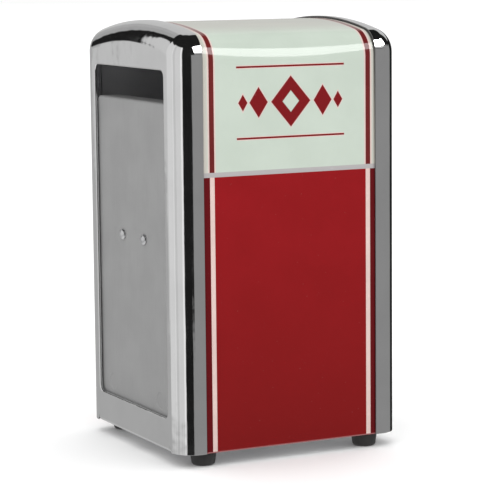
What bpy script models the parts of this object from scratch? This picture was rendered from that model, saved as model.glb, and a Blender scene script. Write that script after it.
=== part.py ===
"""Two-sided counter napkin dispenser, as separate sheet-metal, spring and rubber pieces.

+Z is up and the origin is on the table, under the middle of the body. The painted display
sides face -Y and +Y. The two chromed faceplates face -X (left) and +X (right). Everything that
belongs to one end is drawn with its outward side along +X, and the left end is the same set of
pieces turned half round about Z. Lengths are in metres.
"""

import math

import bmesh
import bpy
from mathutils import Vector

# Overall size
HEIGHT = 0.1905
LENGTH = 0.1084  # from faceplate to faceplate
WIDTH = 0.1008  # across the faceplates' side flanges
BODY_BOTTOM = 0.0060  # underside of the sheet-metal body, above the table
GAP = 0.0003  # between neighbouring pieces

# Facets in each kind of curve
CROWN_STEPS = 6
CORNER_STEPS = 7
EDGE_STEPS = 6
BEND_STEPS = 3
OUTLINE_STEPS = 5
FOLLOWER_CORNER_STEPS = 4
PIN_SIDES = 16
ROD_SIDES = 12
DIMPLE_SIDES = 20
FOOT_SIDES = 24
FOOT_EDGE_STEPS = 4
FOOT_RIVET_SIDES = 14
RIVET_SIDES = 16
RIVET_DOME_STEPS = 4
SHARP_ANGLE = math.radians(40)  # edges steeper than this stay sharp in shading
MERGE_DISTANCE = 0.00001
HOLE_CUT = 4  # a hole's cutter, in sheet thicknesses
MOUTH_CUT = 10
EMPTY_SIZE = 0.01

# The arch that the shell and both faceplates follow
CORNER_RADIUS = 0.011
CROWN_RISE = 0.00405

# Sheet thicknesses
PLATE_SHEET = 0.0006
SHELL_SHEET = 0.0007
BASE_SHEET = 0.0008
DIVIDER_SHEET = 0.0008
FOLLOWER_SHEET = 0.0007
STRAP_SHEET = 0.0007
CATCH_SHEET = 0.0005

# Shell and base
SHELL_LENGTH = 0.0915
BASE_LENGTH = 0.0900
BASE_FLANGE = 0.009
BEND_RADIUS = 0.0012

# Faceplate
FLANGE_DEPTH = 0.01245
EDGE_RADIUS = 0.0096  # of the sheet's middle surface
LIP_DEPTH = 0.0052
LIP_RADIUS = 0.0027
LIP_HALF_WIDTH = 0.0393
RELIEF_WIDTH = 0.0006  # the slit that lets the lip bend beside the rounded corner
RELIEF_HEIGHT = 0.004
MOUTH_WIDTH = 0.0746
MOUTH_BOTTOM = 0.0205
MOUTH_TOP = 0.1701
MOUTH_CORNER = 0.003
HEM_WIDTH = 0.0025

# Faceplate hinge, a rod along Y
HINGE_INSET = 0.005  # behind the faceplate's front
HINGE_HEIGHT = 0.0080
ROD_RADIUS = 0.001
ROD_LENGTH = 0.075
KNUCKLE_RADIUS = 0.0019
KNUCKLE_BORE = 0.00125
DOOR_KNUCKLES = (-0.016, 0.016)
DOOR_KNUCKLE_WIDTH = 0.014
BASE_KNUCKLES = (-0.032, 0.0, 0.032)
BASE_KNUCKLE_WIDTH = 0.010
NOTCH_MARGIN = 0.0005
NOTCH_REACH = 0.0026  # how far outside the hinge axis the lip's notches go

# Follower
FOLLOWER_INSET = 0.0018  # its front, behind the faceplate's front
FOLLOWER_WIDTH = 0.079
FOLLOWER_BOTTOM = 0.0107
FOLLOWER_TOP = 0.1561
FOLLOWER_DEPTH = 0.010
FOLLOWER_EDGE = 0.002
FOLLOWER_CORNER = 0.003
DIMPLE_RADIUS = 0.004
DIMPLE_DEPTH = 0.0003
DIMPLE_SPREAD = 0.052
DIMPLE_HEIGHT = 0.0261
STOP_THICKNESS = 0.0008
STOP_WIDTH = 0.018
STOP_TOP = 0.0102
STOP_TAB_WIDTH = 0.024
STOP_TAB_BOTTOM = 0.0074

# Follower rivets and spring strap
RIVET_SPREAD = 0.0229
RIVET_HEIGHT = 0.0953
RIVET_SHANK = 0.001
RIVET_HOLE = 0.0013
RIVET_HEAD = 0.0024
RIVET_DOME = 0.0013
RIVET_TAIL = 0.0016
RIVET_TAIL_THICKNESS = 0.0009
STRAP_WIDTH = 0.006
STRAP_HALF_LENGTH = 0.0142
STRAP_FOOT_START = 0.0090
STRAP_BRIDGE_END = 0.0079

# Conical follower spring
WIRE_RADIUS = 0.0006
SPRING_SMALL_RADIUS = 0.0065
SPRING_LARGE_RADIUS = 0.028
SPRING_FLAT_TURNS = 0.69  # lying flat at each end
SPRING_START = math.radians(-40)
SPRING_FULL_TURNS = 8
SPRING_END = math.radians(315)
SPRING_POINTS_PER_TURN = 12
WIRE_RESOLUTION = 2

# Centre divider
DIVIDER_TOP = 0.1695
DIVIDER_FLANGE = 0.008
HOOK_ANGLES = (math.radians(90), math.radians(180), math.radians(270))
HOOK_WIDTH = 0.004
HOOK_POST = 0.0010
HOOK_INSIDE = 0.0024  # from the wire's centre line in to the post
HOOK_OVERHANG = 0.0005  # of the hook's cap, past the wire
HOOK_CAP = 0.0005

# Faceplate catch, a tab on the faceplate over a spring clip under the roof
TAB_HEIGHT = 0.1808
TAB_LEG_BOTTOM = 0.1735
TAB_REACH = 0.0102
TAB_WIDTH = 0.018
CLIP_WIDTH = 0.014
CLIP_ROOT_X = 0.025
CLIP_DROP_X = 0.0405
CLIP_TIP_X = 0.0485
CLIP_BUMP_X = 0.0445
CLIP_BUMP_LENGTH = 0.004

# Feet, standing on the table
FOOT_X = 0.0399
FOOT_Y = 0.0424
FOOT_TOP_RADIUS = 0.0058
FOOT_WAIST_RADIUS = 0.0052
FOOT_EDGE_RADIUS = 0.0013
FOOT_BORE = 0.0018
FOOT_RECESS_RADIUS = 0.0029
FOOT_RECESS_DEPTH = 0.0022
FOOT_RIVET_SHANK = 0.0015
FOOT_RIVET_HEAD = 0.0025
FOOT_RIVET_HEAD_THICKNESS = 0.0011

# Surface finishes: base colour, metallic, roughness
MINT_PAINT = ((0.62, 0.68, 0.58), 0.0, 0.25)
CHROME = ((0.75, 0.75, 0.76), 1.0, 0.10)
GREY_STEEL = ((0.33, 0.33, 0.33), 0.6, 0.45)
PLAIN_STEEL = ((0.42, 0.42, 0.43), 1.0, 0.40)
SPRING_STEEL = ((0.45, 0.45, 0.47), 1.0, 0.30)
ZINC = ((0.60, 0.61, 0.62), 1.0, 0.35)
RUBBER = ((0.02, 0.02, 0.02), 0.0, 0.75)

# Places worked out from the sizes above
FACE_X = LENGTH / 2
HINGE_X = FACE_X - HINGE_INSET
FOLLOWER_X = FACE_X - FOLLOWER_INSET
FOLLOWER_BACK = FOLLOWER_X - FOLLOWER_SHEET
FOLLOWER_REAR = FOLLOWER_X - FOLLOWER_DEPTH
SHELL_OFFSET = PLATE_SHEET + GAP
BASE_TOP = BODY_BOTTOM + BASE_SHEET
HALF_TURN = math.pi
QUARTER_TURN = math.pi / 2
FULL_TURN = 2 * math.pi


# ---------------------------------------------------------------- scene and materials


def clear_scene():
    for obj in list(bpy.data.objects):
        bpy.data.objects.remove(obj, do_unlink=True)


def new_collection(name):
    made = bpy.data.collections.new(name)
    bpy.context.scene.collection.children.link(made)
    return made


clear_scene()
PARTS = new_collection("napkin_dispenser")
CUTTERS = new_collection("cutters")


def finish_material(name, finish):
    colour, metallic, roughness = finish
    material = bpy.data.materials.new(name)
    material.use_nodes = True
    shader = material.node_tree.nodes["Principled BSDF"]
    shader.inputs["Base Color"].default_value = (*colour, 1.0)
    shader.inputs["Metallic"].default_value = metallic
    shader.inputs["Roughness"].default_value = roughness
    material.diffuse_color = (*colour, 1.0)
    return material


def add_piece(name, mesh, finish, parent=None, location=(0, 0, 0), rotation=(0, 0, 0)):
    """A named piece of the dispenser, with its own material."""
    piece = bpy.data.objects.new(name, mesh)
    PARTS.objects.link(piece)
    piece.parent = parent
    piece.location = location
    piece.rotation_euler = rotation
    if finish:
        mesh.materials.append(finish_material(name, finish))
    return piece


def add_helper(name, mesh, parent=None, location=(0, 0, 0), rotation=(0, 0, 0)):
    """A shape that cuts or joins a piece and isn't one itself."""
    helper = bpy.data.objects.new(name, mesh)
    CUTTERS.objects.link(helper)
    helper.parent = parent
    helper.location = location
    helper.rotation_euler = rotation
    helper.hide_render = True
    helper.display_type = "WIRE"
    return helper


def add_empty(name, parent=None, location=(0, 0, 0), rotation=(0, 0, 0)):
    empty = bpy.data.objects.new(name, None)
    PARTS.objects.link(empty)
    empty.empty_display_size = EMPTY_SIZE
    empty.parent = parent
    empty.location = location
    empty.rotation_euler = rotation
    return empty


# ---------------------------------------------------------------- meshes


def mesh_from(bm, name):
    mesh = bpy.data.meshes.new(name)
    bm.to_mesh(mesh)
    bm.free()
    return mesh


def box_mesh(name, size):
    bm = bmesh.new()
    bmesh.ops.create_cube(bm, size=1.0)
    bmesh.ops.scale(bm, vec=size, verts=bm.verts)
    return mesh_from(bm, name)


def cylinder_mesh(name, radius, length, segments=PIN_SIDES):
    """A cylinder along local Z, centred on its origin."""
    bm = bmesh.new()
    bmesh.ops.create_cone(
        bm, cap_ends=True, segments=segments, radius1=radius, radius2=radius, depth=length
    )
    return mesh_from(bm, name)


def strip_mesh(name, profile, width):
    """An open sheet: the profile's (x, z) points, drawn along Y by width."""
    bm = bmesh.new()
    start = [bm.verts.new((x, -width / 2, z)) for x, z in profile]
    edges = [bm.edges.new(pair) for pair in zip(start, start[1:])]
    drawn = bmesh.ops.extrude_edge_only(bm, edges=edges)["geom"]
    moved = [item for item in drawn if isinstance(item, bmesh.types.BMVert)]
    bmesh.ops.translate(bm, verts=moved, vec=(0, width, 0))
    return mesh_from(bm, name)


def plate_mesh(name, outline, thickness):
    """A flat plate in the YZ plane: the outline's (y, z) points, thickened evenly along X."""
    bm = bmesh.new()
    face = bm.faces.new([bm.verts.new((-thickness / 2, y, z)) for y, z in outline])
    drawn = bmesh.ops.extrude_face_region(bm, geom=[face])["geom"]
    moved = [item for item in drawn if isinstance(item, bmesh.types.BMVert)]
    bmesh.ops.translate(bm, verts=moved, vec=(thickness, 0, 0))
    bmesh.ops.recalc_face_normals(bm, faces=bm.faces)
    return mesh_from(bm, name)


def turned_mesh_profile(name, profile, closed):
    """The (radius, z) outline of a turned piece, for a Screw about Z."""
    bm = bmesh.new()
    points = [bm.verts.new((radius, 0, z)) for radius, z in profile]
    pairs = list(zip(points, points[1:]))
    if closed:
        pairs.append((points[-1], points[0]))
    for pair in pairs:
        bm.edges.new(pair)
    return mesh_from(bm, name)


def pan_mesh(name, outline, depth, open_edges=(), lip_edge=None, lip_depth=0.0, lip_weight=0.0):
    """An open sheet: a flat face at x = 0, with its outline's edges drawn back along -X.

    open_edges are the indices of outline edges that stay unbent. lip_edge is drawn back by
    lip_depth instead, and its bend is lip_weight times the radius of the others.
    """
    bm = bmesh.new()
    weight = bm.edges.layers.float.new("bevel_weight_edge")
    rim = [bm.verts.new((0, y, z)) for y, z in outline]
    bm.faces.new(rim)
    count = len(rim)
    wall = []
    lip = []
    for index in range(count):
        edge = bm.edges.get((rim[index], rim[(index + 1) % count]))
        if index == lip_edge:
            lip.append(edge)
            edge[weight] = lip_weight
        elif index not in open_edges:
            wall.append(edge)
            edge[weight] = 1.0
    for edges, reach in ((wall, depth), (lip, lip_depth)):
        if not edges:
            continue
        drawn = bmesh.ops.extrude_edge_only(bm, edges=edges)["geom"]
        moved = [item for item in drawn if isinstance(item, bmesh.types.BMVert)]
        bmesh.ops.translate(bm, verts=moved, vec=(-reach, 0, 0))
        for item in drawn:
            if isinstance(item, bmesh.types.BMEdge):
                item[weight] = 0.0
    return mesh_from(bm, name)


# ---------------------------------------------------------------- modifiers


def thicken(piece, thickness):
    """Give a sheet its thickness, half to each side of its middle surface."""
    shell = piece.modifiers.new("sheet", "SOLIDIFY")
    shell.thickness = thickness
    shell.offset = 0.0
    shell.use_even_offset = True


def round_edges(piece, radius, segments, by_weight=False):
    bevel = piece.modifiers.new("rounding", "BEVEL")
    bevel.width = radius
    bevel.segments = segments
    bevel.limit_method = "WEIGHT" if by_weight else "ANGLE"
    bevel.use_clamp_overlap = False


def mirror_along(piece, axis):
    """Add the other half, on the far side of local X (axis 0) or local Y (axis 1)."""
    mirror = piece.modifiers.new("other_half", "MIRROR")
    mirror.use_axis = (axis == 0, axis == 1, False)
    mirror.use_clip = True
    mirror.merge_threshold = MERGE_DISTANCE


def turn(piece, steps):
    screw = piece.modifiers.new("turned", "SCREW")
    screw.steps = steps
    screw.render_steps = steps
    screw.use_merge_vertices = True
    screw.merge_threshold = MERGE_DISTANCE


def combine(piece, other, operation):
    boolean = piece.modifiers.new(operation.lower(), "BOOLEAN")
    boolean.operation = operation
    boolean.object = other
    boolean.solver = "EXACT"


def join(piece, other):
    combine(piece, other, "UNION")


def cut(piece, other):
    combine(piece, other, "DIFFERENCE")


def smooth(piece):
    """Round faces shaded smooth, with steeper edges kept sharp."""
    piece.data.shade_smooth()
    piece.data.set_sharp_from_angle(angle=SHARP_ANGLE)


# ---------------------------------------------------------------- outlines


def arch_half(offset, bottom):
    """(y, z) points from the crown down to the bottom, drawn inwards from the arch by offset."""
    corner_y = WIDTH / 2 - CORNER_RADIUS
    corner_z = HEIGHT - CORNER_RADIUS - CROWN_RISE
    crown_radius = CORNER_RADIUS + (corner_y**2 / CROWN_RISE + CROWN_RISE) / 2
    crown_z = HEIGHT - crown_radius
    meet = math.atan2(corner_y, corner_z - crown_z)
    points = []
    for step in range(CROWN_STEPS + 1):
        angle = meet * step / CROWN_STEPS
        radius = crown_radius - offset
        points.append((radius * math.sin(angle), crown_z + radius * math.cos(angle)))
    for step in range(1, CORNER_STEPS + 1):
        angle = meet + (QUARTER_TURN - meet) * step / CORNER_STEPS
        radius = CORNER_RADIUS - offset
        points.append((corner_y + radius * math.sin(angle), corner_z + radius * math.cos(angle)))
    points.append((WIDTH / 2 - offset, bottom))
    return points


def rounded_rectangle(width, bottom, top, radius, steps=OUTLINE_STEPS):
    """(y, z) points of a rectangle with rounded corners, centred across Y."""
    points = []
    middles = (
        (width / 2 - radius, top - radius, 0),
        (-width / 2 + radius, top - radius, 1),
        (-width / 2 + radius, bottom + radius, 2),
        (width / 2 - radius, bottom + radius, 3),
    )
    for y, z, quarter in middles:
        for step in range(steps + 1):
            angle = QUARTER_TURN * (quarter + step / steps)
            points.append((y + radius * math.cos(angle), z + radius * math.sin(angle)))
    return points


# ---------------------------------------------------------------- housing


def make_body_shell():
    """The painted inverted U: both display sides and the crowned roof, in one sheet."""
    middle = SHELL_OFFSET + SHELL_SHEET / 2
    half = arch_half(middle, BODY_BOTTOM)
    shell = add_piece("body_shell", strip_mesh("body_shell", half, SHELL_LENGTH), MINT_PAINT)
    shell.rotation_euler = (0, 0, QUARTER_TURN)
    mirror_along(shell, 0)
    thicken(shell, SHELL_SHEET)
    smooth(shell)
    return shell


def make_base_plate():
    """The floor, with turned-up sides, knuckles for both hinge rods and the followers' stops."""
    half_width = base_half_width()
    floor = BODY_BOTTOM + BASE_SHEET / 2
    profile = [
        (-half_width, floor + BASE_FLANGE),
        (-half_width, floor),
        (half_width, floor),
        (half_width, floor + BASE_FLANGE),
    ]
    base = add_piece("base_plate", strip_mesh("base_plate", profile, BASE_LENGTH), PLAIN_STEEL)
    base.rotation_euler = (0, 0, QUARTER_TURN)
    round_edges(base, BEND_RADIUS, BEND_STEPS)
    thicken(base, BASE_SHEET)
    for side in (1, -1):
        add_base_hinge(base, side)
        stop_height = STOP_TOP - floor
        stop = add_helper(
            "stop",
            box_mesh("stop", (STOP_THICKNESS, STOP_WIDTH, stop_height)),
            location=(side * stop_x(), 0, floor + stop_height / 2),
        )
        join(base, stop)
    for x in (-FOOT_X, FOOT_X):
        for y in (-FOOT_Y, FOOT_Y):
            hole = add_helper(
                "foot_hole",
                cylinder_mesh("foot_hole", FOOT_BORE, HOLE_CUT * BASE_SHEET),
                location=(x, y, floor),
            )
            cut(base, hole)
    return base


def base_half_width():
    """From the middle to the middle surface of the base plate's turned-up sides."""
    return WIDTH / 2 - SHELL_OFFSET - SHELL_SHEET - GAP - BASE_SHEET / 2


def stop_x():
    """Middle of a follower stop, just outside the tab on the follower's bottom flange."""
    return FOLLOWER_REAR + STOP_THICKNESS + GAP + STOP_THICKNESS / 2


def add_base_hinge(base, side):
    """Tongues that reach out from the floor and curl round one hinge rod."""
    floor = BODY_BOTTOM + BASE_SHEET / 2
    tongue_start = BASE_LENGTH / 2 - BASE_SHEET
    tongue_length = HINGE_X - tongue_start
    for y in BASE_KNUCKLES:
        tongue = add_helper(
            "tongue",
            box_mesh("tongue", (tongue_length, BASE_KNUCKLE_WIDTH, BASE_SHEET)),
            location=(side * (tongue_start + tongue_length / 2), y, floor),
        )
        join(base, tongue)
        knuckle = add_helper(
            "base_knuckle",
            cylinder_mesh("base_knuckle", KNUCKLE_RADIUS, BASE_KNUCKLE_WIDTH),
            location=(side * HINGE_X, y, HINGE_HEIGHT),
            rotation=(QUARTER_TURN, 0, 0),
        )
        join(base, knuckle)
    bore = add_helper(
        "base_bore",
        cylinder_mesh("base_bore", KNUCKLE_BORE, 2 * LIP_HALF_WIDTH),
        location=(side * HINGE_X, 0, HINGE_HEIGHT),
        rotation=(QUARTER_TURN, 0, 0),
    )
    cut(base, bore)


def make_center_divider():
    """The partition that both springs bear on, flanged to the base's sides, with spring hooks."""
    half_width = base_half_width() - BASE_SHEET / 2 - GAP - DIVIDER_SHEET / 2
    bottom = BASE_TOP + GAP
    height = DIVIDER_TOP - bottom
    profile = [
        (-half_width, DIVIDER_FLANGE),
        (-half_width, 0),
        (half_width, 0),
        (half_width, DIVIDER_FLANGE),
    ]
    divider = add_piece(
        "center_divider",
        strip_mesh("center_divider", profile, height),
        PLAIN_STEEL,
        location=(0, 0, bottom + height / 2),
    )
    divider.rotation_euler = (QUARTER_TURN, 0, QUARTER_TURN)
    round_edges(divider, BEND_RADIUS, BEND_STEPS)
    thicken(divider, DIVIDER_SHEET)
    for side in (1, -1):
        for angle in HOOK_ANGLES:
            add_spring_hook(divider, side, angle)
    return divider


def add_spring_hook(divider, side, angle):
    """An L-shaped hook lanced from the divider, over the spring's large end."""
    surface = DIVIDER_SHEET / 2
    post_height = GAP + 2 * WIRE_RADIUS + GAP + HOOK_CAP
    post_radius = SPRING_LARGE_RADIUS - HOOK_INSIDE
    cap_length = HOOK_INSIDE + WIRE_RADIUS + HOOK_OVERHANG + HOOK_POST / 2
    centre = add_empty(
        "hook_centre",
        location=(0, 0, RIVET_HEIGHT),
        rotation=(angle if side > 0 else -angle, 0, 0 if side > 0 else HALF_TURN),
    )
    post = add_helper(
        "hook_post",
        box_mesh("hook_post", (post_height + surface, HOOK_POST, HOOK_WIDTH)),
        parent=centre,
        location=((post_height + surface) / 2, post_radius, 0),
    )
    cap = add_helper(
        "hook_cap",
        box_mesh("hook_cap", (HOOK_CAP, cap_length, HOOK_WIDTH)),
        parent=centre,
        location=(
            surface + post_height - HOOK_CAP / 2,
            post_radius - HOOK_POST / 2 + cap_length / 2,
            0,
        ),
    )
    join(divider, post)
    join(divider, cap)


def make_foot(name, x, y):
    edge_centre = (FOOT_WAIST_RADIUS - FOOT_EDGE_RADIUS, FOOT_EDGE_RADIUS)
    profile = [(FOOT_BORE, BODY_BOTTOM - GAP), (FOOT_TOP_RADIUS, BODY_BOTTOM - GAP)]
    for step in range(FOOT_EDGE_STEPS + 1):
        angle = -QUARTER_TURN * step / FOOT_EDGE_STEPS
        profile.append(
            (
                edge_centre[0] + FOOT_EDGE_RADIUS * math.cos(angle),
                edge_centre[1] + FOOT_EDGE_RADIUS * math.sin(angle),
            )
        )
    profile += [
        (FOOT_RECESS_RADIUS, 0),
        (FOOT_RECESS_RADIUS, FOOT_RECESS_DEPTH),
        (FOOT_BORE, FOOT_RECESS_DEPTH),
    ]
    foot = add_piece(name, turned_mesh_profile(name, profile, closed=True), RUBBER, location=(x, y, 0))
    turn(foot, FOOT_SIDES)
    return foot


def make_foot_rivet(name, x, y):
    """Headed below, in the foot's recess, and clinched over above the base plate."""
    upper = BASE_TOP + GAP
    lower = FOOT_RECESS_DEPTH - GAP
    thickness = FOOT_RIVET_HEAD_THICKNESS
    shoulder = FOOT_RIVET_HEAD - thickness / 2
    profile = [
        (0, upper + thickness),
        (shoulder, upper + thickness),
        (FOOT_RIVET_HEAD, upper + thickness / 2),
        (FOOT_RIVET_HEAD, upper),
        (FOOT_RIVET_SHANK, upper),
        (FOOT_RIVET_SHANK, lower),
        (FOOT_RIVET_HEAD, lower),
        (FOOT_RIVET_HEAD, lower - thickness / 2),
        (shoulder, lower - thickness),
        (0, lower - thickness),
    ]
    rivet = add_piece(name, turned_mesh_profile(name, profile, closed=False), ZINC, location=(x, y, 0))
    turn(rivet, FOOT_RIVET_SIDES)
    return rivet


def make_feet():
    for end, x in (("left", -FOOT_X), ("right", FOOT_X)):
        for face, y in (("front", -FOOT_Y), ("back", FOOT_Y)):
            make_foot(f"foot_{face}_{end}", x, y)
            make_foot_rivet(f"foot_rivet_{face}_{end}", x, y)


# ---------------------------------------------------------------- one end


def make_faceplate(name, hinge):
    """The chromed pan with its mouth. Its origin is on the hinge axis."""
    place = (HINGE_INSET - PLATE_SHEET / 2, 0, -HINGE_HEIGHT)
    bottom = BODY_BOTTOM + PLATE_SHEET / 2
    arch = arch_half(PLATE_SHEET / 2, BODY_BOTTOM)
    relief = LIP_HALF_WIDTH + RELIEF_WIDTH
    outline = arch + [
        (relief, BODY_BOTTOM),
        (relief, BODY_BOTTOM + RELIEF_HEIGHT),
        (LIP_HALF_WIDTH, BODY_BOTTOM + RELIEF_HEIGHT),
        (LIP_HALF_WIDTH, bottom),
        (0, bottom),
    ]
    arch_edges = len(arch) - 1
    lip_edge = len(outline) - 2
    unbent = [*range(arch_edges, lip_edge), len(outline) - 1]
    mesh = pan_mesh(
        name,
        outline,
        FLANGE_DEPTH - PLATE_SHEET / 2,
        open_edges=unbent,
        lip_edge=lip_edge,
        lip_depth=LIP_DEPTH - PLATE_SHEET / 2,
        lip_weight=LIP_RADIUS / EDGE_RADIUS,
    )
    plate = add_piece(name, mesh, CHROME, parent=hinge, location=place)
    smooth(plate)
    mirror_along(plate, 1)
    round_edges(plate, EDGE_RADIUS, EDGE_STEPS, by_weight=True)
    thicken(plate, PLATE_SHEET)
    add_mouth(plate, hinge)
    add_door_hinge(plate, hinge)
    return plate


def add_mouth(plate, hinge):
    """The hemmed opening that the napkins are drawn out of."""
    hem_outline = rounded_rectangle(
        MOUTH_WIDTH + 2 * HEM_WIDTH,
        MOUTH_BOTTOM - HEM_WIDTH,
        MOUTH_TOP + HEM_WIDTH,
        MOUTH_CORNER + HEM_WIDTH,
    )
    overlap = PLATE_SHEET / 2
    hem = add_helper(
        "hem",
        plate_mesh("hem", hem_outline, PLATE_SHEET + overlap),
        parent=hinge,
        location=(HINGE_INSET - PLATE_SHEET - (PLATE_SHEET - overlap) / 2, 0, -HINGE_HEIGHT),
    )
    join(plate, hem)
    mouth_outline = rounded_rectangle(MOUTH_WIDTH, MOUTH_BOTTOM, MOUTH_TOP, MOUTH_CORNER)
    mouth = add_helper(
        "mouth",
        plate_mesh("mouth", mouth_outline, MOUTH_CUT * PLATE_SHEET),
        parent=hinge,
        location=(HINGE_INSET, 0, -HINGE_HEIGHT),
    )
    cut(plate, mouth)


def add_door_hinge(plate, hinge):
    """Knuckles curled up from the bottom lip, and notches that clear the base plate's knuckles."""
    for y in DOOR_KNUCKLES:
        knuckle = add_helper(
            "door_knuckle",
            cylinder_mesh("door_knuckle", KNUCKLE_RADIUS, DOOR_KNUCKLE_WIDTH),
            parent=hinge,
            location=(0, y, 0),
            rotation=(QUARTER_TURN, 0, 0),
        )
        join(plate, knuckle)
    bore = add_helper(
        "door_bore",
        cylinder_mesh("door_bore", KNUCKLE_BORE, 2 * LIP_HALF_WIDTH),
        parent=hinge,
        rotation=(QUARTER_TURN, 0, 0),
    )
    cut(plate, bore)
    notch_length = 2 * NOTCH_REACH
    for y in BASE_KNUCKLES:
        notch = add_helper(
            "lip_notch",
            box_mesh(
                "lip_notch",
                (notch_length, BASE_KNUCKLE_WIDTH + 2 * NOTCH_MARGIN, 2 * HINGE_HEIGHT),
            ),
            parent=hinge,
            location=(0, y, 0),
        )
        cut(plate, notch)


def make_catch_tab(name, hinge):
    """A bracket inside the faceplate, above the mouth, that the catch spring grips."""
    leg_x = HINGE_INSET - PLATE_SHEET - GAP - CATCH_SHEET / 2
    height = TAB_HEIGHT - HINGE_HEIGHT
    profile = [
        (leg_x, TAB_LEG_BOTTOM - HINGE_HEIGHT),
        (leg_x, height),
        (leg_x - TAB_REACH, height),
    ]
    tab = add_piece(name, strip_mesh(name, profile, TAB_WIDTH), ZINC, parent=hinge)
    round_edges(tab, BEND_RADIUS, BEND_STEPS)
    thicken(tab, CATCH_SHEET)
    return tab


def make_catch_spring(name, end):
    """A spring-steel clip under the roof, with a bump that holds the faceplate's tab."""
    roof = HEIGHT - SHELL_OFFSET - SHELL_SHEET - GAP - CATCH_SHEET / 2
    crown_sag = GAP  # the roof falls a little across the clip's width
    root = roof - crown_sag
    tongue = TAB_HEIGHT - CATCH_SHEET - 2 * GAP - CATCH_SHEET
    half_bump = CLIP_BUMP_LENGTH / 2
    profile = [
        (CLIP_ROOT_X, root),
        (CLIP_DROP_X, root),
        (CLIP_DROP_X, tongue),
        (CLIP_BUMP_X - half_bump, tongue),
        (CLIP_BUMP_X, tongue + GAP),
        (CLIP_BUMP_X + half_bump, tongue),
        (CLIP_TIP_X, tongue - BEND_RADIUS),
    ]
    clip = add_piece(name, strip_mesh(name, profile, CLIP_WIDTH), SPRING_STEEL, parent=end)
    round_edges(clip, BEND_RADIUS, BEND_STEPS)
    thicken(clip, CATCH_SHEET)
    return clip


def make_hinge_rod(name, end):
    rod = add_piece(
        name,
        cylinder_mesh(name, ROD_RADIUS, ROD_LENGTH, segments=ROD_SIDES),
        ZINC,
        parent=end,
        location=(HINGE_X, 0, HINGE_HEIGHT),
        rotation=(QUARTER_TURN, 0, 0),
    )
    smooth(rod)
    return rod


def make_follower(name, slide):
    """The pressed pan behind the mouth. Its origin is at the middle of its front, by the rivets."""
    inset = FOLLOWER_SHEET / 2
    outline = rounded_rectangle(
        FOLLOWER_WIDTH - FOLLOWER_SHEET,
        FOLLOWER_BOTTOM + inset,
        FOLLOWER_TOP - inset,
        FOLLOWER_CORNER,
        steps=FOLLOWER_CORNER_STEPS,
    )
    mesh = pan_mesh(name, outline, FOLLOWER_DEPTH - inset)
    follower = add_piece(name, mesh, GREY_STEEL, parent=slide, location=(-inset, 0, -RIVET_HEIGHT))
    smooth(follower)
    round_edges(follower, FOLLOWER_EDGE, BEND_STEPS, by_weight=True)
    thicken(follower, FOLLOWER_SHEET)
    tab_top = FOLLOWER_BOTTOM + inset
    tab = add_helper(
        "stop_tab",
        box_mesh("stop_tab", (STOP_THICKNESS, STOP_TAB_WIDTH, tab_top - STOP_TAB_BOTTOM)),
        parent=slide,
        location=(
            -FOLLOWER_DEPTH + STOP_THICKNESS / 2,
            0,
            (tab_top + STOP_TAB_BOTTOM) / 2 - RIVET_HEIGHT,
        ),
    )
    join(follower, tab)
    for y in (-RIVET_SPREAD / 2, RIVET_SPREAD / 2):
        hole = add_helper(
            "rivet_hole",
            cylinder_mesh("rivet_hole", RIVET_HOLE, HOLE_CUT * FOLLOWER_SHEET),
            parent=slide,
            location=(-inset, y, 0),
            rotation=(0, QUARTER_TURN, 0),
        )
        cut(follower, hole)
    for y in (-DIMPLE_SPREAD / 2, DIMPLE_SPREAD / 2):
        dimple = add_helper(
            "dimple",
            cylinder_mesh("dimple", DIMPLE_RADIUS, 2 * DIMPLE_DEPTH, segments=DIMPLE_SIDES),
            parent=slide,
            location=(0, y, DIMPLE_HEIGHT - RIVET_HEIGHT),
            rotation=(0, QUARTER_TURN, 0),
        )
        cut(follower, dimple)
    return follower


def strap_depths():
    """Middle of the strap's feet and of its bridge, behind the follower's front."""
    foot = FOLLOWER_SHEET + GAP + STRAP_SHEET / 2
    bridge = FOLLOWER_SHEET + 2 * GAP + 2 * WIRE_RADIUS + STRAP_SHEET / 2
    return foot, bridge


def make_spring_strap(name, slide):
    """The bridge over the spring's small end, held by the follower's rivets."""
    foot, bridge = strap_depths()
    profile = [
        (-STRAP_HALF_LENGTH, foot),
        (-STRAP_FOOT_START, foot),
        (-STRAP_BRIDGE_END, bridge),
        (STRAP_BRIDGE_END, bridge),
        (STRAP_FOOT_START, foot),
        (STRAP_HALF_LENGTH, foot),
    ]
    strap = add_piece(
        name,
        strip_mesh(name, profile, STRAP_WIDTH),
        ZINC,
        parent=slide,
        rotation=(QUARTER_TURN, 0, -QUARTER_TURN),
    )
    thicken(strap, STRAP_SHEET)
    for y in (-RIVET_SPREAD / 2, RIVET_SPREAD / 2):
        hole = add_helper(
            "strap_hole",
            cylinder_mesh("strap_hole", RIVET_HOLE, HOLE_CUT * STRAP_SHEET),
            parent=slide,
            location=(-foot, y, 0),
            rotation=(0, QUARTER_TURN, 0),
        )
        cut(strap, hole)
    return strap


def make_follower_rivet(name, slide, y):
    """Domed in front of the follower, flat behind the strap."""
    dome = []
    for step in range(RIVET_DOME_STEPS):
        angle = QUARTER_TURN * (1 - step / RIVET_DOME_STEPS)
        dome.append((RIVET_HEAD * math.cos(angle), GAP + RIVET_DOME * math.sin(angle)))
    tail = -(FOLLOWER_SHEET + GAP + STRAP_SHEET + GAP)
    profile = [
        *dome,
        (RIVET_HEAD, GAP),
        (RIVET_SHANK, GAP),
        (RIVET_SHANK, tail),
        (RIVET_TAIL, tail),
        (RIVET_TAIL, tail - RIVET_TAIL_THICKNESS),
        (0, tail - RIVET_TAIL_THICKNESS),
    ]
    rivet = add_piece(
        name,
        turned_mesh_profile(name, profile, closed=False),
        ZINC,
        parent=slide,
        location=(0, y, 0),
        rotation=(0, QUARTER_TURN, 0),
    )
    turn(rivet, RIVET_SIDES)
    return rivet


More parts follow.
